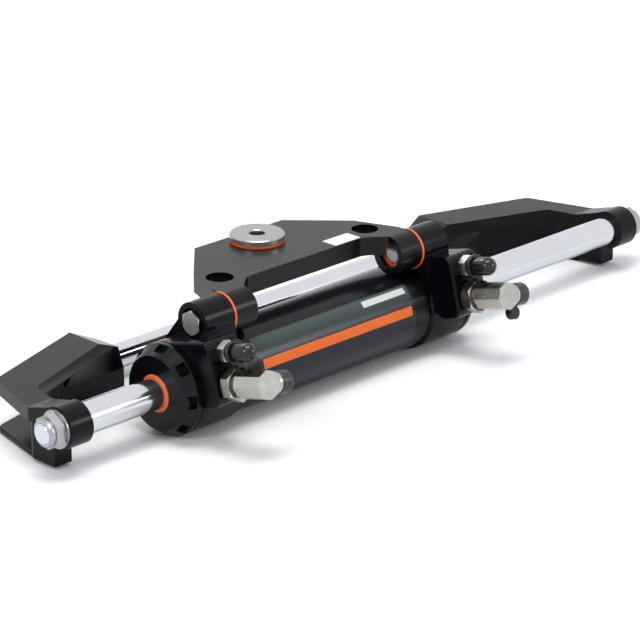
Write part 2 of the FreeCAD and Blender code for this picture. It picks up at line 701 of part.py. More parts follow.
# Gland: a turned nut that closes the barrel and guides the rod, with spanner slots milled
# round its conical rim.
def gland():
    start = S.barrel_half + S.seat_gap
    outer = barrel_radius - S.seat_gap
    rim = head_outer + S.seat_gap
    guide_end = start + S.guide_length
    seal_end = guide_end + S.seal_length
    body = turned("gland", [
        (start, S.guide_radius + S.seat_gap), (start, outer), (rim, outer), (rim, head_radius),
        (rim + S.gland_flange, head_radius), (gland_face, head_radius - S.gland_taper),
        (gland_face, S.wiper_radius + S.seat_gap), (seal_end, S.wiper_radius + S.seat_gap),
        (seal_end, S.seal_radius + S.seat_gap), (guide_end, S.seal_radius + S.seat_gap),
        (guide_end, S.guide_radius + S.seat_gap),
    ])
    document.recompute()
    slot = sketch_on(body, "YZ_Plane", [
        (-S.slot_width / 2, head_radius - S.slot_depth), (S.slot_width / 2, head_radius - S.slot_depth),
        (S.slot_width / 2, head_radius + PAST), (-S.slot_width / 2, head_radius + PAST),
    ], gland_face - S.edge_break)
    pocket = body.newObject("PartDesign::Pocket", "spanner_slot")
    pocket.Profile = slot
    bind(pocket, "Length", S.slot_length)
    pattern = body.newObject("PartDesign::PolarPattern", "spanner_slots")
    pattern.Originals = [pocket]
    axis = next(o for o in body.Origin.OriginFeatures if o.Role == "X_Axis")
    pattern.Axis = (axis, [""])
    pattern.Angle = 360
    bind(pattern, "Occurrences", S.gland_slots)
    body.Tip = pattern
    return body


def rod_guides():
    start = S.barrel_half + S.seat_gap
    guide = ring("rod_guide", S.rod_radius + S.running_gap, S.guide_radius, start, S.guide_length)
    return place_on_cylinder(both_sides("rod_guides", guide))


def rod_seals():
    start = S.barrel_half + S.guide_length + 2 * S.seat_gap
    length = S.seal_length - 2 * S.seat_gap
    seal = ring("rod_seal", S.rod_radius + S.running_gap, S.seal_radius, start, length)
    return place_on_cylinder(both_sides("rod_seals", seal))


# Rod wiper: the coloured lip that shows round the rod at the face of each gland.
def rod_wipers():
    start = S.barrel_half + S.guide_length + S.seal_length + 2 * S.seat_gap
    end = gland_face + S.wiper_proud
    inner = S.rod_radius + S.running_gap
    wiper = turned("rod_wiper", [
        (start, inner), (start, S.wiper_radius), (gland_face, S.wiper_radius),
        (end, S.wiper_radius - S.edge_break), (end, inner),
    ])
    return place_on_cylinder(both_sides("rod_wipers", wiper))


# Pivot bolt: screwed through each ear into the bush of the plate's boss.
def pivot_bolts():
    seat = ear_outer - S.bolt_recess + S.seat_gap
    head_of_bolt = hexagon("pivot_bolt_head", S.bolt_flats, seat, S.bolt_head)
    tip = plate_mouth + S.bush_recess
    shank = turned("pivot_bolt_shank", [
        (tip, ZERO), (tip, S.bolt_radius - S.edge_break), (tip + S.edge_break, S.bolt_radius),
        (seat + PAST, S.bolt_radius), (seat + PAST, ZERO),
    ])
    bolts = both_sides("pivot_bolts", fuse("pivot_bolt", head_of_bolt, shank))
    return place(bolts, S.barrel_shift, rod_y - S.pivot_forward, rod_z + pivot_rise)


def facing_forward(name, piece, rise=ZERO):
    """A piece turned along X, swung to face forward at both ports."""
    right = place(piece, port_place, 0, rise, FORWARD)
    return place_on_ports(both_sides(name, right))


def hose_rings():
    piece = ring("hose_ring", S.hose_thread + S.seat_gap, S.hose_ring_radius, port_face, S.hose_seat)
    return facing_forward("hose_rings", piece)


def lock_nuts():
    start = port_face + S.hose_seat
    nut = hexagon("lock_nut", S.lock_flats, start, S.lock_height, S.hose_thread + S.seat_gap)
    return facing_forward("lock_nuts", group("lock_nut", nut))


# Hose fitting: an elbow from plated eight-sided bar on a threaded neck. Its outlet points
# along the rod, to the same side on both fittings, and is turned a little downwards.
hose_start = port_face + S.hose_seat + S.lock_height + S.hose_gap
hose_end = hose_start + S.hose_length
outlet_place = hose_end - S.outlet_back


def hose_fittings():
    bar = hexagon("hose_bar", S.hose_flats, hose_start, S.hose_length, None, 8)
    neck = rod_of("hose_neck", S.hose_thread, barrel_radius + PAST, hose_start - barrel_radius)
    oilway = rod_of("hose_oilway", S.oilway_radius, barrel_radius, outlet_place - barrel_radius)
    elbows = []
    for name, x in (("right_elbow", port_place), ("left_elbow", -port_place)):
        swung = place(group(name, fuse("hose_stem", bar, neck)), x, 0, 0, FORWARD)
        way = place(group("elbow_oilway", oilway), x, 0, 0, FORWARD)
        outlet = outlet_at(x, rod_of("outlet", S.outlet_radius, ZERO, S.outlet_length))
        mouth = outlet_at(x, rod_of("outlet_mouth", S.plug_stem + S.seat_gap, ZERO, S.outlet_length + PAST))
        elbows.append(cut("elbow", fuse("elbow_body", swung, outlet), way, mouth))
    return place_on_ports(group("hose_fittings", *elbows))


def outlet_at(x, piece):
    """Moves a piece along X to the outlet of the fitting at x, and turns it downwards."""
    turned_down = group("outlet_piece", piece)
    turned_down.Placement = FreeCAD.Placement(FreeCAD.Vector(), FreeCAD.Rotation(FreeCAD.Vector(0, 1, 0), 1))
    bind(turned_down, "Placement.Rotation.Angle", S.outlet_turn)
    return place(turned_down, x, -outlet_place)


# Dust plug: a moulded cap over each outlet, with a stem in its mouth.
def dust_plugs():
    end = S.outlet_length + S.plug_length
    plug = turned("dust_plug", [
        (S.oilway_radius, ZERO), (S.oilway_radius, S.plug_stem), (S.outlet_length + S.seat_gap, S.plug_stem),
        (S.outlet_length + S.seat_gap, S.plug_radius), (end - S.soft_edge, S.plug_radius),
        (end, S.plug_radius - S.soft_edge), (end, ZERO),
    ])
    plugs = [outlet_at(x, plug) for x in (port_place, -port_place)]
    return place_on_ports(group("dust_plugs", *plugs))


# Bleed screw: a hexagon with a slim nipple that the rubber cap covers.
def bleed_screws():
    start = port_face + S.seat_gap
    top = start + S.bleed_height
    flats = hexagon("bleed_flats", S.bleed_flats, start, S.bleed_height)
    stem = turned("bleed_stem", [
        (start - S.bleed_height, ZERO), (start - S.bleed_height, S.bleed_thread),
        (start + PAST, S.bleed_thread), (start + PAST, S.nipple_radius),
        (top + S.nipple_length, S.nipple_radius),
        (top + S.nipple_length, ZERO),
    ])
    screw = fuse("bleed_screw", flats, stem)
    return facing_forward("bleed_screws", group("bleed_screw_turned", screw), S.bleed_rise)


def bleed_caps():
    start = port_face + S.bleed_height + 2 * S.seat_gap
    end = start + S.cap_length
    inside = start + S.nipple_length + PAST
    dome = end - S.cap_radius / 2
    cap = turned("bleed_cap", [
        (start, S.nipple_radius + S.seat_gap), (start, S.cap_radius), (dome, S.cap_radius),
        (end - S.edge_break, S.cap_radius / 2 + S.edge_break), (end, S.cap_radius / 2), (end, ZERO),
        (inside, ZERO), (inside, S.nipple_radius + S.seat_gap),
    ])
    return facing_forward("bleed_caps", cap, S.bleed_rise)


# Pivot plate: a machined plate with a round boss at each front corner. It is cut away
# between the bosses, and each bolt hole lies in a milled pocket.
def pivot_plate():
    side = plate_boss - S.plate_side_in
    rear_half = plate_boss - S.plate_rear_in
    hole_place = plate_boss - S.plate_hole_in
    plan = prism("plate_plan", "XY_Plane", [
        (-plate_boss, -S.pivot_forward), (-plate_mouth, -S.pivot_forward, S.plate_corner),
        (-plate_mouth + S.plate_scoop, S.plate_front, S.plate_scoop),
        (plate_mouth - S.plate_scoop, S.plate_front, S.plate_scoop),
        (plate_mouth, -S.pivot_forward, S.plate_corner),
        (plate_boss, -S.pivot_forward), (plate_boss, ZERO),
        (side, S.plate_side_back, S.plate_corner), (rear_half, S.plate_rear, S.plate_corner),
        (-rear_half, S.plate_rear, S.plate_corner), (-side, S.plate_side_back, S.plate_corner),
        (-plate_boss, ZERO),
    ], plate_bottom, S.plate_thick)
    length = plate_boss - plate_mouth
    bosses = [
        rod_of("plate_boss", S.ear_radius, start, length, -S.pivot_forward, pivot_rise)
        for start in (plate_mouth, -plate_boss)
    ]
    bore_radius = S.bolt_radius + S.running_gap + S.bush_wall + S.seat_gap
    bores = [
        rod_of(
            "bush_bore", bore_radius, start - PAST, length + PAST * 2, -S.pivot_forward, pivot_rise
        )
        for start in (plate_mouth, -plate_boss)
    ]
    pocket_floor = plate_top - S.pocket_depth
    holes = []
    for x in (hole_place, -hole_place):
        holes.append(upright(
            "plate_hole", S.plate_hole, plate_bottom - PAST, S.plate_thick + PAST * 2, x, S.plate_hole_back
        ))
        holes.append(upright(
            "plate_pocket", S.pocket_radius, pocket_floor, S.pocket_depth + PAST, x, S.plate_hole_back
        ))
    bearing_hole = upright(
        "bearing_hole", S.tiller_shank + S.running_gap + S.bearing_wall + S.seat_gap, plate_bottom - PAST,
        S.plate_thick + PAST * 2, ZERO, S.tiller_back,
    )
    whole = fuse("plate_whole", plan, *bosses)
    return place_on_cylinder(cut("pivot_plate", whole, *bores, *holes, bearing_hole))


def place_on_pivot(piece):
    return place(piece, S.barrel_shift, rod_y - S.pivot_forward, rod_z + pivot_rise)


def pivot_bushes():
    inner = S.bolt_radius + S.running_gap
    start = plate_mouth + S.bush_recess
    bush = ring("pivot_bush", inner, inner + S.bush_wall, start, plate_boss - start)
    return place_on_pivot(both_sides("pivot_bushes", bush))


def thrust_washers():
    washer = ring(
        "thrust_washer", S.bolt_radius + S.running_gap, S.thrust_radius, plate_boss, S.thrust_thick
    )
    return place_on_pivot(both_sides("thrust_washers", washer))


STANDING = FreeCAD.Rotation(FreeCAD.Vector(0, 1, 0), -90)


def place_on_tiller(piece):
    return place(piece, S.barrel_shift, rod_y + S.tiller_back, rod_z, STANDING)


# Plastic bearing: a flanged sleeve in the plate, under the disc of the tiller bush.
def tiller_bearing():
    inner = S.tiller_shank + S.running_gap
    top = plate_top + S.bearing_flange
    return place_on_tiller(turned("tiller_bearing", [
        (plate_bottom, inner), (plate_bottom, inner + S.bearing_wall),
        (plate_top, inner + S.bearing_wall), (plate_top, S.tiller_disc), (top, S.tiller_disc),
        (top, inner),
    ]))


# Tiller bush: a steel disc on a shank, bored for the motor's tiller bolt.
def tiller_bush():
    under = plate_top + S.bearing_flange + S.side_gap
    top = under + S.disc_thick
    return place_on_tiller(turned("tiller_bush", [
        (plate_bottom, S.tiller_bore), (plate_bottom, S.tiller_shank), (under, S.tiller_shank),
        (under, S.tiller_disc), (top - S.edge_break, S.tiller_disc), (top, S.tiller_disc - S.edge_break),
        (top, S.tiller_bore + S.edge_break), (top - S.edge_break, S.tiller_bore),
    ]))


keep(piston_rod(), "piston_rod")
keep(piston(), "piston")
keep(piston_seals(), "piston_seals")
keep(piston_clips(), "piston_clips")
keep(rod_washers(), "rod_washers")
keep(rod_nuts(), "rod_nuts")
keep(support_rod(), "support_rod")
keep(support_washers(), "support_washers")
keep(support_nuts(), "support_nuts")
right_bracket = keep(bracket(), "right_bracket")
keep(mirrored("left_bracket", right_bracket), "left_bracket")
keep(barrel(), "barrel")
right_head = head()
keep(place_on_cylinder(group("right_head", right_head)), "right_head")
keep(place_on_cylinder(mirrored("left_head", right_head)), "left_head")
right_gland = gland()
keep(place_on_cylinder(group("right_gland", right_gland)), "right_gland")
keep(place_on_cylinder(mirrored("left_gland", right_gland)), "left_gland")
keep(rod_guides(), "rod_guides")
keep(rod_seals(), "rod_seals")
keep(rod_wipers(), "rod_wipers")
keep(pivot_bolts(), "pivot_bolts")
keep(hose_rings(), "hose_rings")
keep(lock_nuts(), "lock_nuts")
keep(hose_fittings(), "hose_fittings")
keep(dust_plugs(), "dust_plugs")
keep(bleed_screws(), "bleed_screws")
keep(bleed_caps(), "bleed_caps")
keep(pivot_plate(), "pivot_plate")
keep(pivot_bushes(), "pivot_bushes")
keep(thrust_washers(), "thrust_washers")
keep(tiller_bearing(), "tiller_bearing")
keep(tiller_bush(), "tiller_bush")

document.recompute()
for piece in document.Objects:
    if "Invalid" in piece.State or "Error" in piece.State:
        raise RuntimeError(f"{piece.Label} failed: {piece.getStatusString()}")

os.makedirs("parts", exist_ok=True)
for piece in PIECES:
    if piece.Shape.isNull() or not piece.Shape.isValid() or not piece.Shape.Solids:
        raise RuntimeError(f"{piece.Label} has no valid solid")
    piece.Shape.exportStep(f"parts/{piece.Label}.step")
    print(piece.Label, len(piece.Shape.Solids), round(piece.Shape.Volume, 1))
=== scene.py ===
import json
import math

import bmesh
import bpy
from mathutils import Matrix, Vector

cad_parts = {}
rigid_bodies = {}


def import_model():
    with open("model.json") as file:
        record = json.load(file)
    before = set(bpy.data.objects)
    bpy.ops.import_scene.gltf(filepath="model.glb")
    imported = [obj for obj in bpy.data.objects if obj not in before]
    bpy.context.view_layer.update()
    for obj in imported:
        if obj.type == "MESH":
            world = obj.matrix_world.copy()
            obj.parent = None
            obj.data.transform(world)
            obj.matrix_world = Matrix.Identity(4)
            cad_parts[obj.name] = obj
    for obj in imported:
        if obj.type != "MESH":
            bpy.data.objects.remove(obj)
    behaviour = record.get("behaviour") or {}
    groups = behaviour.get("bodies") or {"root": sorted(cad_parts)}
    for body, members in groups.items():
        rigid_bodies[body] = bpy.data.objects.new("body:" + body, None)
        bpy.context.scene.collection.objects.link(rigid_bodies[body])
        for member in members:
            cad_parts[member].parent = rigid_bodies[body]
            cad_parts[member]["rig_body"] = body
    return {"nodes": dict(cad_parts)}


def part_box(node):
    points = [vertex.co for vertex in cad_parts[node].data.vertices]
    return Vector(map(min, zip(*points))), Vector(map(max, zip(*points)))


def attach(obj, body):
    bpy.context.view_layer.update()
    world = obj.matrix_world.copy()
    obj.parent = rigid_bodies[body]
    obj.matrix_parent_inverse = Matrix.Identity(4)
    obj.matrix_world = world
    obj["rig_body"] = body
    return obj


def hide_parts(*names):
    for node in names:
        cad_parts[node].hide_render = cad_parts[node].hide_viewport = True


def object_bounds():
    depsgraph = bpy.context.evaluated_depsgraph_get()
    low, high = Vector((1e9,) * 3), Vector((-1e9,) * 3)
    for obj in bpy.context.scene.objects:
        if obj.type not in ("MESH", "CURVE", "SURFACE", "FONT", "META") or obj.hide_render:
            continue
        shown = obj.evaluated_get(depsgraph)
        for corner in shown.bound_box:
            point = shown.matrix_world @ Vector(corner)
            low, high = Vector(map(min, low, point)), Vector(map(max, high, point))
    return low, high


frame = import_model()
cad_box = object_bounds()
nodes = frame["nodes"]
scene = bpy.context.scene

# Studio: a plain pale floor under the part, a pale surround and four soft lamps. The
# surround is white to the camera and in polished metal, and lights the part softly.
scene.view_settings.view_transform = "Standard"

camera_data = bpy.data.cameras.new("camera")
camera_data.lens = 168.9
camera_data.sensor_width = 36.0
camera_data.clip_end = 50.0
camera = bpy.data.objects.new("camera", camera_data)
view_direction = Vector((0.6615, 0.6598, -0.3566))
camera.location = (-1.2586, -1.3060, 0.6818)
camera.rotation_euler = view_direction.to_track_quat("-Z", "Y").to_euler()
scene.collection.objects.link(camera)
scene.camera = camera


def soft_lamp(name, place, aim, width, height, power):
    data = bpy.data.lights.new(name, "AREA")
    data.shape = "RECTANGLE"
    data.size = width
    data.size_y = height
    data.energy = power
    lamp = bpy.data.objects.new(name, data)
    lamp.location = place
    lamp.rotation_euler = (Vector(aim) - Vector(place)).to_track_quat("-Z", "Y").to_euler()
    scene.collection.objects.link(lamp)


soft_lamp("top_lamp", (-0.1, -0.2, 1.4), (0, -0.05, 0), 0.9, 0.5, 10)
soft_lamp("left_lamp", (-1.5, -0.3, 1.0), (-0.1, -0.05, 0), 0.35, 0.6, 6)
soft_lamp("front_lamp", (0.9, -1.5, 0.7), (0, -0.09, 0), 0.7, 0.4, 5)
soft_lamp("rear_lamp", (0.3, 1.5, 1.3), (0, 0, 0), 1.0, 0.3, 6)


class Value:
    """A shader socket that can be used in sums."""

    def __init__(self, finish, socket):
        self.finish = finish
        self.socket = socket

    def sum(self, operation, first, second):
        return self.finish.node("Math", {"operation": operation}, {0: first, 1: second})

    def __rsub__(self, other):
        return self.sum("SUBTRACT", other, self)

    def __mul__(self, other):
        return self.sum("MULTIPLY", self, other)


class Finish:
    """One finish: its nodes, added one by one by node(), and the shader that they feed."""

    def __init__(self, name):
        self.material = bpy.data.materials.new(name)
        self.material.use_nodes = True
        self.tree = self.material.node_tree
        self.tree.nodes.clear()
        self.place = self.node("TexCoord", output="Object")

    def node(self, kind, settings=None, inputs=None, output=0):
        node = self.tree.nodes.new("ShaderNode" + kind)
        for name, value in (settings or {}).items():
            setattr(node, name, value)
        for name, value in (inputs or {}).items():
            if isinstance(value, Value):
                self.tree.links.new(value.socket, node.inputs[name])
            else:
                node.inputs[name].default_value = value
        return Value(self, node.outputs[output])

    def mix(self, amount, first, second):
        sockets = {"Factor": amount, 6: first, 7: second}
        return self.node("Mix", {"data_type": "RGBA"}, sockets, 2)

    def noise(self, scale, detail=3.0, roughness=0.55, stretch=None):
        place = self.place
        if stretch is not None:
            place = self.node("Mapping", {}, {"Vector": place, "Scale": stretch})
        sockets = {"Vector": place, "Scale": scale, "Detail": detail, "Roughness": roughness}
        return self.node("TexNoise", {}, sockets)

    def between(self, value, low, high, to_low=0.0, to_high=1.0):
        sockets = {0: value, 1: low, 2: high, 3: to_low, 4: to_high}
        return self.node("MapRange", {}, sockets)

    def bump(self, height, distance, strength=1.0):
        sockets = {"Height": height, "Distance": distance, "Strength": strength}
        return self.node("Bump", {}, sockets)

    def surface(self, **sockets):
        names = {name.replace("_", " ").title(): value for name, value in sockets.items()}
        names = {name.replace("Ior", "IOR"): value for name, value in names.items()}
        shader = self.node("BsdfPrincipled", {}, names)
        output = self.tree.nodes.new("ShaderNodeOutputMaterial")
        self.tree.links.new(shader.socket, output.inputs["Surface"])
        return self.material


def dress(names, material):
    """Gives carried-over pieces their finish."""
    for name in names:
        mesh = nodes[name].data
        mesh.materials.clear()
        mesh.materials.append(material)


# Floor and surround, both plain and pale.
floor_level = cad_box[0][2]
floor_mesh = bmesh.new()
bmesh.ops.create_grid(floor_mesh, x_segments=1, y_segments=1, size=6.0)
bmesh.ops.translate(floor_mesh, verts=floor_mesh.verts, vec=(0, 0, floor_level))
floor_data = bpy.data.meshes.new("floor")
floor_mesh.to_mesh(floor_data)
floor_mesh.free()
floor = bpy.data.objects.new("floor", floor_data)
scene.collection.objects.link(floor)
paper = Finish("pale_paper")
grain = paper.noise(60.0)
shade = paper.mix(grain, (0.84, 0.84, 0.85, 1), (0.88, 0.88, 0.88, 1))
seen_straight = paper.node("LightPath", output="Is Camera Ray")
floor_data.materials.append(paper.surface(
    base_color=paper.mix(seen_straight, shade, (1, 1, 1, 1)), roughness=0.9,
))

world = bpy.data.worlds.new("surround")
world.use_nodes = True
sky = world.node_tree
backing = sky.nodes["Background"]
direction = sky.nodes.new("ShaderNodeTexCoord")
height = sky.nodes.new("ShaderNodeSeparateXYZ")
sky.links.new(direction.outputs["Generated"], height.inputs[0])
glow = sky.nodes.new("ShaderNodeValToRGB")
glow.color_ramp.elements[0].position = 0.0
glow.color_ramp.elements[0].color = (0.25, 0.27, 0.32, 1)
glow.color_ramp.elements[1].position = 0.75
glow.color_ramp.elements[1].color = (0.66, 0.67, 0.70, 1)
sky.links.new(height.outputs["Z"], glow.inputs[0])
rays = sky.nodes.new("ShaderNodeLightPath")
seen = sky.nodes.new("ShaderNodeMix")
seen.data_type = "RGBA"
seen.inputs[7].default_value = (1, 1, 1, 1)
straight = sky.nodes.new("ShaderNodeMath")
straight.operation = "MAXIMUM"
mirrored = sky.nodes.new("ShaderNodeMath")
mirrored.operation = "MAXIMUM"
sky.links.new(rays.outputs["Is Camera Ray"], straight.inputs[0])
sky.links.new(rays.outputs["Is Transmission Ray"], straight.inputs[1])
sky.links.new(straight.outputs[0], mirrored.inputs[0])
sky.links.new(rays.outputs["Is Glossy Ray"], mirrored.inputs[1])
sky.links.new(mirrored.outputs[0], seen.inputs["Factor"])
sky.links.new(glow.outputs["Color"], seen.inputs[6])
sky.links.new(seen.outputs[2], backing.inputs["Color"])
scene.world = world


# Polished bars: hard chrome over ground steel, with the faint rings that centreless
# grinding leaves.
def polished_bar():
    chrome = Finish("polished_bar")
    rings = chrome.noise(40.0, stretch=(60.0, 0.6, 0.6))
    smear = chrome.noise(25.0, 4.0)
    return chrome.surface(
        base_color=chrome.mix(smear, (0.65, 0.66, 0.70, 1), (0.73, 0.74, 0.78, 1)),
        metallic=1.0,
        roughness=chrome.between(rings, 0.3, 0.7, 0.08, 0.16),
        normal=chrome.bump(rings, 0.00002, 0.3),
    )


dress(["piston_rod", "support_rod"], polished_bar())


# Castings: die-cast aluminium under a smooth black powder coat. The coat has a faint
# orange peel and is a little thinner and duller where hands have rubbed it.
def black_coat():
    coat = Finish("black_coat")
    peel = coat.noise(900.0, 2.0)
    swell = coat.noise(60.0, 3.0)
    return coat.surface(
        base_color=coat.mix(swell, (0.0016, 0.0018, 0.0032, 1), (0.0026, 0.0030, 0.0050, 1)),
        roughness=coat.between(swell, 0.3, 0.7, 0.19, 0.22),
        specular_ior_level=0.16,
        normal=coat.bump(peel, 0.00002, 0.2),
    )


powder_coat = black_coat()
dress(["left_bracket", "right_bracket", "left_head", "right_head"], powder_coat)


def show(mesh, name, finish, body):
    """Puts a finished mesh in the scene and fixes it to its body."""
    data = bpy.data.meshes.new(name)
    mesh.to_mesh(data)
    mesh.free()
    data.materials.append(finish)
    piece = bpy.data.objects.new(name, data)
    scene.collection.objects.link(piece)
    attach(piece, body)
    return piece


# Faces from this size up are flats, which meet in a crisp line however small the bend.
FLAT_AREA = 0.00022


def soft_edged(node, name, finish, radius):
    """The carried-over piece with its sharp edges rounded, as cast or deburred."""
    mesh = bmesh.new()
    mesh.from_mesh(nodes[node].data)
    bmesh.ops.remove_doubles(mesh, verts=mesh.verts, dist=2e-6)
    bmesh.ops.dissolve_limit(
        mesh, angle_limit=math.radians(0.6), verts=mesh.verts, edges=mesh.edges,
    )
    for face in mesh.faces:
        face.smooth = True
    for edge in mesh.edges:
        edge.smooth = min(face.calc_area() for face in edge.link_faces) < FLAT_AREA
    piece = show(mesh, name, finish, nodes[node]["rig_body"])
    rounding = piece.modifiers.new("rounding", "BEVEL")
    rounding.width = radius
    rounding.segments = 3
    rounding.limit_method = "ANGLE"
    rounding.angle_limit = math.radians(18)
    shading = piece.modifiers.new("shading", "WEIGHTED_NORMAL")
    shading.keep_sharp = True
    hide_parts(node)


CASTINGS = {
    "left_bracket": "left_casting", "right_bracket": "right_casting",
    "left_head": "left_head_casting", "right_head": "right_head_casting",
}
for node, name in CASTINGS.items():
    soft_edged(node, name, powder_coat, 0.0012)


# Machined and anodised pieces: the barrel, the glands and the pivot plate are dyed black
# over fine tool marks, and look slate grey where the light grazes them.
def black_anodised():
    dyed = Finish("black_anodised")
    marks = dyed.noise(30.0, 4.0, stretch=(1.0, 40.0, 40.0))
    swell = dyed.noise(35.0, 3.0)
    return dyed.surface(
        base_color=dyed.mix(swell, (0.0022, 0.0026, 0.0036, 1), (0.0034, 0.0040, 0.0052, 1)),
        roughness=dyed.between(marks, 0.3, 0.7, 0.2, 0.26),
        specular_ior_level=0.22,
        normal=dyed.bump(marks, 0.00001, 0.2),
    )


anodised = black_anodised()
dress(["barrel", "left_gland", "right_gland", "pivot_plate", "piston"], anodised)
soft_edged("pivot_plate", "machined_plate", anodised, 0.0006)
soft_edged("left_gland", "left_gland_nut", anodised, 0.0005)
soft_edged("right_gland", "right_gland_nut", anodised, 0.0005)


# Barrel foil: a glossy printed foil wrapped round the front of the barrel. It is bare, with
# plain fields only: black above, an orange stripe and a pale block, over dark slate blue
# below. The slate green band in the middle is not print but a painted highlight: it stands
# in for the light reflected along the glossy barrel.
BARREL_AXIS = Vector((-0.0495, -0.090, 0.0155))
FOIL_RADIUS = 0.02665
foil_left, foil_right = -0.1155, 0.0185
foil_low, foil_high = math.radians(-36), math.radians(84)


def barrel_foil():
    foil = Finish("barrel_foil")
    middle = foil.node("Mapping", {}, {"Vector": foil.place, "Location": tuple(-BARREL_AXIS)})
    x, y, z = (
        foil.node("SeparateXYZ", {}, {"Vector": middle}, output=axis) for axis in ("X", "Y", "Z")
    )
    turn = foil.node("Math", {"operation": "ARCTAN2"}, {0: z, 1: 0.0 - y})
    blur_turn = math.radians(0.25)
    blur_x = 0.00012
    stripe_turn = (math.radians(9.5), math.radians(22.5))
    stripe_x = (-0.0625, 0.0655)
    block_turn = (math.radians(41), math.radians(50))
    block_x = (0.028, 0.065)

    def field(value, span, soft):
        low, high = span
        rise = foil.between(value, low - soft, low + soft)
        fall = foil.between(value, high - soft, high + soft)
        return rise * (1.0 - fall)

    black = (0.006, 0.006, 0.009, 1)
    painted_highlight_green = (0.058, 0.084, 0.077, 1)
    slate_blue = (0.012, 0.016, 0.022, 1)
    orange = (0.76, 0.145, 0.020, 1)
    pale = (0.62, 0.64, 0.62, 1)
    # Painted highlight: from 24 to 50 degrees up the front, the foil's colour is lightened from
    # slate blue to slate green, standing in for the lamps' reflection along the barrel.
    glow = foil.between(turn, math.radians(24), math.radians(50))
    colour = foil.mix(glow, slate_blue, painted_highlight_green)
    above = foil.between(turn, math.radians(53), math.radians(55))
    colour = foil.mix(above, colour, black)
    below = foil.between(turn, math.radians(25), math.radians(24.6))
    colour = foil.mix(below, colour, slate_blue)
    stripe = field(turn, stripe_turn, blur_turn) * field(x, stripe_x, blur_x)
    colour = foil.mix(stripe, colour, orange)
    block = field(turn, block_turn, blur_turn) * field(x, block_x, blur_x)
    colour = foil.mix(block, colour, pale)
    print_grain = foil.noise(1500.0, 2.0)
    return foil.surface(
        base_color=colour,
        roughness=foil.between(print_grain, 0.3, 0.7, 0.16, 0.22),
        specular_ior_level=0.24,
        normal=foil.bump(foil.noise(90.0), 0.00008, 0.15),
    )


foil_mesh = bmesh.new()
first = BARREL_AXIS + Vector((0, -math.cos(foil_low), math.sin(foil_low))) * FOIL_RADIUS
ends = [foil_mesh.verts.new((x, first.y, first.z)) for x in (foil_left, foil_right)]
edge = foil_mesh.edges.new(ends)
bmesh.ops.spin(
    foil_mesh, geom=ends + [edge], cent=BARREL_AXIS, axis=(-1, 0, 0),
    angle=foil_high - foil_low, steps=40,
)
corners = [v for v in foil_mesh.verts if len(v.link_edges) == 2]
bmesh.ops.bevel(
    foil_mesh, geom=corners, affect="VERTICES", offset=0.004, segments=6, profile=0.5, material=-1,
)
bmesh.ops.recalc_face_normals(foil_mesh, faces=foil_mesh.faces)
for face in foil_mesh.faces:
    face.smooth = True
show(foil_mesh, "barrel_wrap", barrel_foil(), "cylinder")


# Nuts, washers, bolts and the tiller bush: bright zinc plate over turned steel.
def zinc_steel():
    zinc = Finish("steel")
    bloom = zinc.noise(500.0, 3.0)
    marks = zinc.noise(300.0, 2.0, stretch=(1.0, 8.0, 8.0))
    return zinc.surface(
        base_color=zinc.mix(bloom, (0.38, 0.38, 0.39, 1), (0.46, 0.46, 0.47, 1)),
        metallic=1.0,
        roughness=zinc.between(bloom, 0.3, 0.7, 0.26, 0.34),
        normal=zinc.bump(marks, 0.00004, 0.3),
    )


steel = zinc_steel()
dress([
    "rod_washers", "rod_nuts", "support_washers", "support_nuts", "piston_clips", "pivot_bolts",
    "tiller_bush",
], steel)


# Nylon rings: the pale locking insert at the outer end of each nut of the piston rod.
NYLON_WIDTH, NYLON_PROUD = 0.0014, 0.0004
nut_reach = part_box("rod_nuts")[1][0]
rod_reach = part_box("piston_rod")[1][0]
rod_tip = [
    vertex.co - BARREL_AXIS for vertex in nodes["piston_rod"].data.vertices
    if nut_reach < vertex.co.x < rod_reach + NYLON_PROUD
]
nylon_inner = max(math.hypot(place.y, place.z) for place in rod_tip) + 0.0001
rings = bmesh.new()
for side in (-1, 1):
    corners = (
        (nut_reach - NYLON_PROUD, nylon_inner), (nut_reach + NYLON_PROUD, nylon_inner),
        (nut_reach + NYLON_PROUD, nylon_inner + NYLON_WIDTH * 0.6),
        (nut_reach - NYLON_PROUD, nylon_inner + NYLON_WIDTH),
    )
    verts = [
        rings.verts.new((side * x, BARREL_AXIS.y, BARREL_AXIS.z + radius)) for x, radius in corners
    ]
    edges = [rings.edges.new(pair) for pair in zip(verts, verts[1:] + verts[:1])]
    bmesh.ops.spin(
        rings, geom=verts + edges, cent=BARREL_AXIS, axis=(1, 0, 0), angle=math.tau, steps=64,
        use_merge=True,
    )
bmesh.ops.remove_doubles(rings, verts=rings.verts, dist=1e-7)
bmesh.ops.recalc_face_normals(rings, faces=rings.faces)
nylon = Finish("nylon")
cloud = nylon.noise(300.0)
show(rings, "nylon_rings", nylon.surface(
    base_color=nylon.mix(cloud, (0.40, 0.46, 0.56, 1), (0.48, 0.54, 0.64, 1)),
    roughness=nylon.between(cloud, 0.3, 0.7, 0.4, 0.5),
), "mounting_frame")


# Hose fittings, lock nuts and bleed screws: brass under a warm bright nickel plate.
def nickel_plate():
    nickel = Finish("nickel")
    bloom = nickel.noise(150.0, 3.0)
    marks = nickel.noise(200.0, 2.0, stretch=(6.0, 1.0, 6.0))
    return nickel.surface(
        base_color=nickel.mix(bloom, (0.42, 0.405, 0.37, 1), (0.56, 0.545, 0.51, 1)),
        metallic=1.0,
        roughness=nickel.between(bloom, 0.3, 0.7, 0.20, 0.32),
        normal=nickel.bump(marks, 0.00004, 0.3),
    )


dress(["hose_fittings", "lock_nuts", "bleed_screws"], nickel_plate())


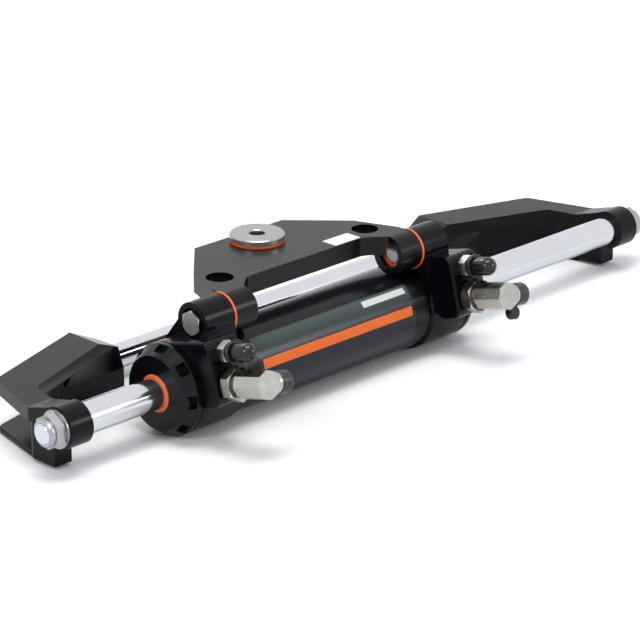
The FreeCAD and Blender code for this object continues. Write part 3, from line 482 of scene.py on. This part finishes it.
# Orange plastic: the rod wipers, the thrust washers, the pivot bushes and the bearing of
# the tiller bush are moulded in orange acetal.
def orange_acetal():
    acetal = Finish("orange_plastic")
    swirl = acetal.noise(120.0, 3.0)
    return acetal.surface(
        base_color=acetal.mix(swirl, (0.74, 0.120, 0.012, 1), (0.84, 0.155, 0.018, 1)),
        roughness=acetal.between(swirl, 0.3, 0.7, 0.34, 0.48),
        normal=acetal.bump(acetal.noise(800.0), 0.00003, 0.3),
    )


dress(["rod_wipers", "thrust_washers", "tiller_bearing", "pivot_bushes"], orange_acetal())


# Plugs, caps and seals: black moulded plastic and rubber, the caps with a soft shine.
def black_moulding(name, shine, colour):
    moulding = Finish(name)
    swell = moulding.noise(140.0, 3.0)
    dark = (colour * 0.7, colour * 0.7, colour * 0.75, 1)
    light = (colour, colour, colour * 1.05, 1)
    return moulding.surface(
        base_color=moulding.mix(swell, dark, light),
        roughness=moulding.between(swell, 0.3, 0.7, shine, shine + 0.12),
        normal=moulding.bump(moulding.noise(1400.0), 0.00003, 0.3),
    )


plug_plastic = black_moulding("black_plastic", 0.24, 0.022)
dress(["dust_plugs"], plug_plastic)
soft_edged("dust_plugs", "outlet_plugs", plug_plastic, 0.0006)
cap_rubber = black_moulding("black_rubber", 0.12, 0.006)
dress(["bleed_caps"], cap_rubber)

# Bleed caps: dipped rubber thimbles pushed over the nipples. Each has a domed end, a rolled
# lip, and a strap loop with a short tongue that hangs between the two ports.
PORT_TILT = math.radians(15)
OUTWARD = Vector((0, -math.cos(PORT_TILT), math.sin(PORT_TILT)))
RISE = Vector((0, math.sin(PORT_TILT), math.cos(PORT_TILT)))
PORT_AXES = Matrix((Vector((1, 0, 0)), RISE, OUTWARD)).transposed().to_4x4()
PORT_PLACE = 0.103
BLEED_RISE = 0.019
CAP_RADIUS = 0.006
cap_reach = [
    OUTWARD.dot(vertex.co - BARREL_AXIS) for vertex in nodes["bleed_caps"].data.vertices
]
cap_foot, cap_tip = min(cap_reach), max(cap_reach)


def turned(mesh, profile):
    """Spins an open profile of length and radius about Z."""
    verts = [mesh.verts.new((radius, 0, length)) for length, radius in profile]
    edges = [mesh.edges.new(pair) for pair in zip(verts, verts[1:])]
    bmesh.ops.spin(
        mesh, geom=verts + edges, cent=(0, 0, 0), axis=(0, 0, 1), angle=math.tau, steps=48,
        use_merge=True,
    )
    bmesh.ops.remove_doubles(mesh, verts=mesh.verts, dist=1e-7)


def dome(start, end, radius, steps=8):
    """Profile points of a round end, from the cylinder to the tip."""
    points = []
    for step in range(steps + 1):
        angle = math.pi / 2 * step / steps
        points.append((end - radius + radius * math.sin(angle), radius * math.cos(angle)))
    return [(start, radius)] + points


def finish_mesh(mesh, corner=40):
    """Closes the normals and smooths all but the sharp edges."""
    bmesh.ops.recalc_face_normals(mesh, faces=mesh.faces)
    for face in mesh.faces:
        face.smooth = True
    for edge in mesh.edges:
        if len(edge.link_faces) == 2 and edge.calc_face_angle() > math.radians(corner):
            edge.smooth = False


def at_bleed_ports(build):
    """One mesh that holds a copy of the built form at the bleed port of each head."""
    pair = bmesh.new()
    for side in (-1, 1):
        form = bmesh.new()
        build(form)
        bmesh.ops.translate(form, verts=form.verts, vec=(side * PORT_PLACE, BLEED_RISE, 0))
        bmesh.ops.transform(
            form, matrix=Matrix.Translation(BARREL_AXIS) @ PORT_AXES, verts=form.verts
        )
        half = bpy.data.meshes.new("half")
        form.to_mesh(half)
        form.free()
        pair.from_mesh(half)
    finish_mesh(pair)
    return pair


def thimble(mesh):
    lip = [
        (cap_foot, CAP_RADIUS * 0.55), (cap_foot, CAP_RADIUS * 0.94),
        (cap_foot + 0.0005, CAP_RADIUS * 1.03), (cap_foot + 0.0016, CAP_RADIUS * 1.03),
        (cap_foot + 0.0022, CAP_RADIUS * 0.97),
    ]
    turned(mesh, lip + dome(cap_foot + 0.004, cap_tip, CAP_RADIUS * 0.97))


def strap_loop(mesh):
    inner, outer = CAP_RADIUS * 0.9, CAP_RADIUS * 1.28
    near, far = cap_foot + 0.0026, cap_foot + 0.0044
    turned(mesh, [(near, inner), (near, outer), (far, outer), (far, inner), (near, inner)])
    tongue = bmesh.ops.create_cube(mesh, size=1.0)["verts"]
    bmesh.ops.scale(mesh, verts=tongue, vec=(0.0046, 0.0075, 0.0017))
    bmesh.ops.translate(mesh, verts=tongue, vec=(0.0012, -0.0098, cap_foot + 0.0035))
    nub = bmesh.ops.create_cone(
        mesh, cap_ends=True, segments=24, radius1=0.0030, radius2=0.0024, depth=0.0052,
    )["verts"]
    bmesh.ops.translate(mesh, verts=nub, vec=(0.0012, -0.0118, cap_foot + 0.0052))


thimbles = show(
    at_bleed_ports(thimble), "cap_thimbles", cap_rubber, "cylinder"
)
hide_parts("bleed_caps")
cap_straps = show(
    at_bleed_ports(strap_loop), "cap_straps", cap_rubber, "cylinder"
)
strap_rounding = cap_straps.modifiers.new("rounding", "BEVEL")
strap_rounding.width = 0.0004
strap_rounding.segments = 2
strap_rounding.limit_method = "ANGLE"



# Spare cap: a ribbed black cap that hangs under the right plug by a short strap.
SPARE_PLACE = Vector((0.0660, -0.1545, 0.0185))
spare = bmesh.new()
turned(spare, [
    (-0.0026, 0.0), (-0.0026, 0.0036), (-0.0021, 0.0044), (-0.0010, 0.0044), (-0.0008, 0.0039),
    (0.0006, 0.0039), (0.0008, 0.0044), (0.0020, 0.0044), (0.0026, 0.0034), (0.0026, 0.0),
])
lean = Matrix.Rotation(math.radians(70), 3, "X")
bmesh.ops.rotate(spare, cent=(0, 0, 0), matrix=lean, verts=spare.verts)
strap = bmesh.ops.create_cube(spare, size=1.0)["verts"]
bmesh.ops.scale(spare, verts=strap, vec=(0.0030, 0.0014, 0.0060))
bmesh.ops.translate(spare, verts=strap, vec=(0, 0, 0.0050))
bmesh.ops.translate(spare, verts=spare.verts, vec=SPARE_PLACE)
finish_mesh(spare, 30)
show(spare, "spare_cap", cap_rubber, "cylinder")


# Plate tag: a small bare label of pale paper beside the right bolt hole.
TAG_LENGTH, TAG_WIDTH, TAG_THICK = 0.0220, 0.0118, 0.0001
TAG_X, TAG_Y = -0.0120, -0.0812
plate_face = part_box("pivot_plate")[1][2]
tag = bmesh.new()
bmesh.ops.create_cube(tag, size=1.0)
bmesh.ops.scale(tag, verts=tag.verts, vec=(TAG_LENGTH, TAG_WIDTH, TAG_THICK))
upright_edges = [
    edge for edge in tag.edges if abs((edge.verts[0].co - edge.verts[1].co).normalized().z) > 0.9
]
bmesh.ops.bevel(
    tag, geom=upright_edges, affect="EDGES", offset=0.0008, segments=4, profile=0.5, material=-1,
)
bmesh.ops.translate(tag, verts=tag.verts, vec=(TAG_X, TAG_Y, plate_face + TAG_THICK / 2))
finish_mesh(tag)
label = Finish("pale_label")
fibre = label.noise(700.0)
show(tag, "plate_tag", label.surface(
    base_color=label.mix(fibre, (0.66, 0.67, 0.74, 1), (0.74, 0.75, 0.82, 1)),
    roughness=label.between(fibre, 0.3, 0.7, 0.4, 0.5),
), "plate")

dress(["piston_seals", "rod_seals", "hose_rings"], black_moulding("seal_rubber", 0.5, 0.02))


# Rod guides: sintered bronze, hidden behind the glands.
def sintered_bronze():
    bronze = Finish("bronze")
    pores = bronze.noise(900.0, 4.0)
    return bronze.surface(
        base_color=bronze.mix(pores, (0.32, 0.19, 0.08, 1), (0.55, 0.36, 0.16, 1)),
        metallic=1.0,
        roughness=bronze.between(pores, 0.3, 0.7, 0.35, 0.5),
    )


dress(["rod_guides"], sintered_bronze())
